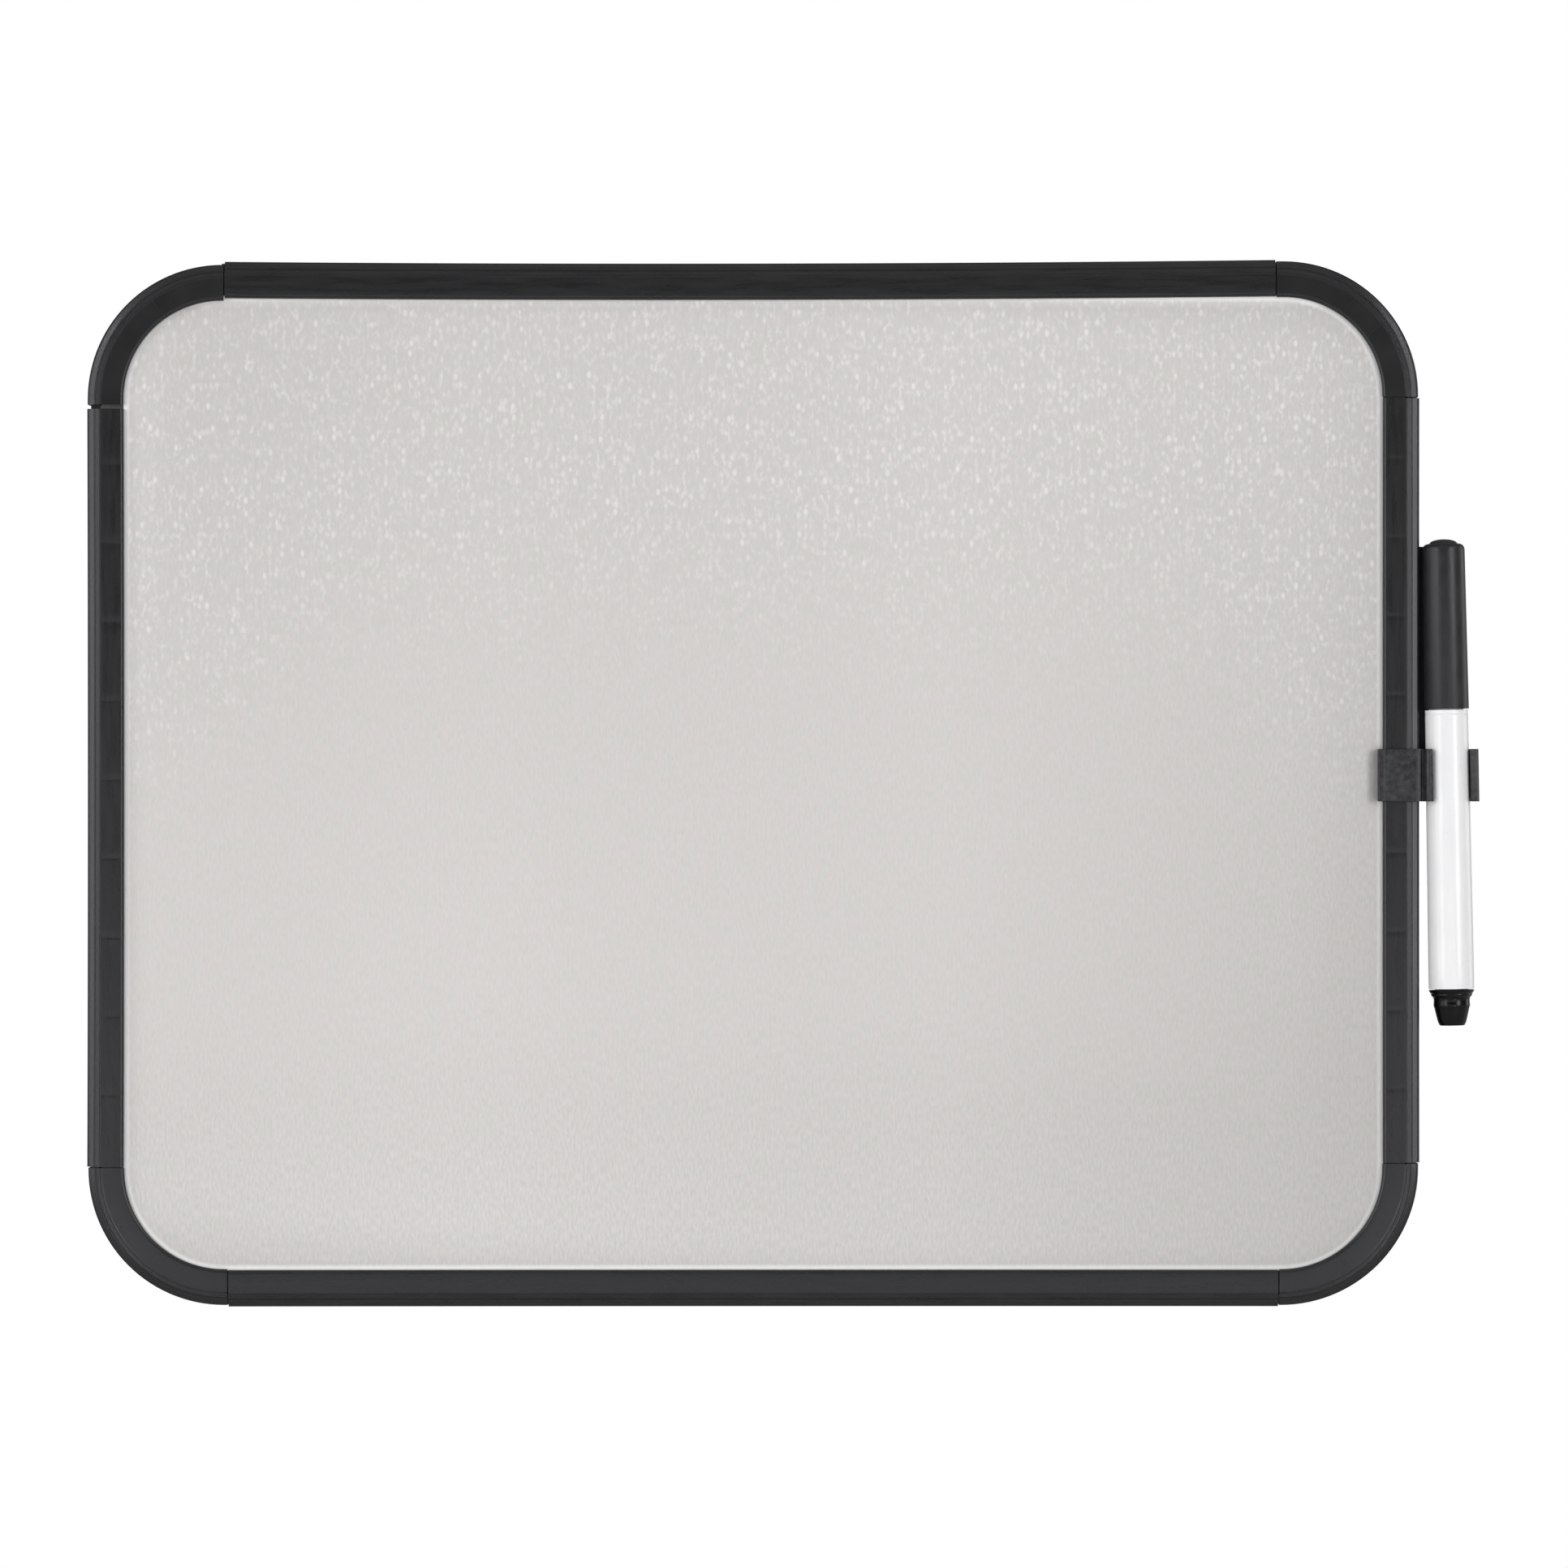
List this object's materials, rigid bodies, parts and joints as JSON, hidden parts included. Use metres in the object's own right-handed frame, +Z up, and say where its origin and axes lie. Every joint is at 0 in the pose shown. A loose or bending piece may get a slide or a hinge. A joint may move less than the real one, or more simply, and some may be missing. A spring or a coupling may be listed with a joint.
{
  "type": "magnetic whiteboard",
  "caption": "Framed steel dry-erase board with rounded corners, rear magnets and a sliding clip holding a capped marker.",
  "frame": {"origin": "the board's centre on the wall plane that the rear magnets touch", "axes": "+X to the right along the board's width, +Y into the wall, +Z up; the writing side faces -Y"},
  "size_m": [0.3716, 0.0149, 0.2794],
  "materials": {
    "steel": "silver, fine vertical brushing with bright flecks",
    "core": "plain fibreboard",
    "backing": "matt grey sheet",
    "frame": "satin black moulding",
    "holder": "matt black moulding, faintly mottled",
    "magnet": "dark flexible magnet",
    "pad": "white foam pad",
    "barrel": "glossy white",
    "cap": "satin black",
    "plug": "glossy black",
    "felt": "ink-soaked felt"
  },
  "bodies": {
    "board": {"writing_sheet": "steel", "core_board": "core", "backing_sheet": "backing", "top_rail": "frame", "bottom_rail": "frame", "left_rail": "frame", "right_rail": "frame", "top_left_corner": "frame", "top_right_corner": "frame", "bottom_left_corner": "frame", "bottom_right_corner": "frame", "magnet_top_left": "magnet", "magnet_top_right": "magnet", "magnet_bottom_left": "magnet", "magnet_bottom_right": "magnet", "pad_top_left": "pad", "pad_top_right": "pad", "pad_bottom_left": "pad", "pad_bottom_right": "pad"},
    "holder": {"marker_holder": "holder"},
    "marker": {"marker_barrel": "barrel", "end_plug": "plug", "ink_reservoir": "felt", "nib": "felt", "nib_holder": "barrel"},
    "cap": {"marker_cap": "cap", "inner_cap": "cap"}
  },
  "joints": [
    {"name": "holder_slide", "type": "slide", "parent": "board", "child": "holder", "axis": [0, 0, 1], "range_m": [-0.096, 0.092]},
    {"name": "marker_slide", "type": "slide", "parent": "holder", "child": "marker", "axis": [-0.0183, 0, 0.9998], "range_m": [-0.074, 0.002]},
    {"name": "cap_pull", "type": "slide", "parent": "marker", "child": "cap", "axis": [-0.0183, 0, 0.9998], "range_m": [0, 0.026]}
  ]
}
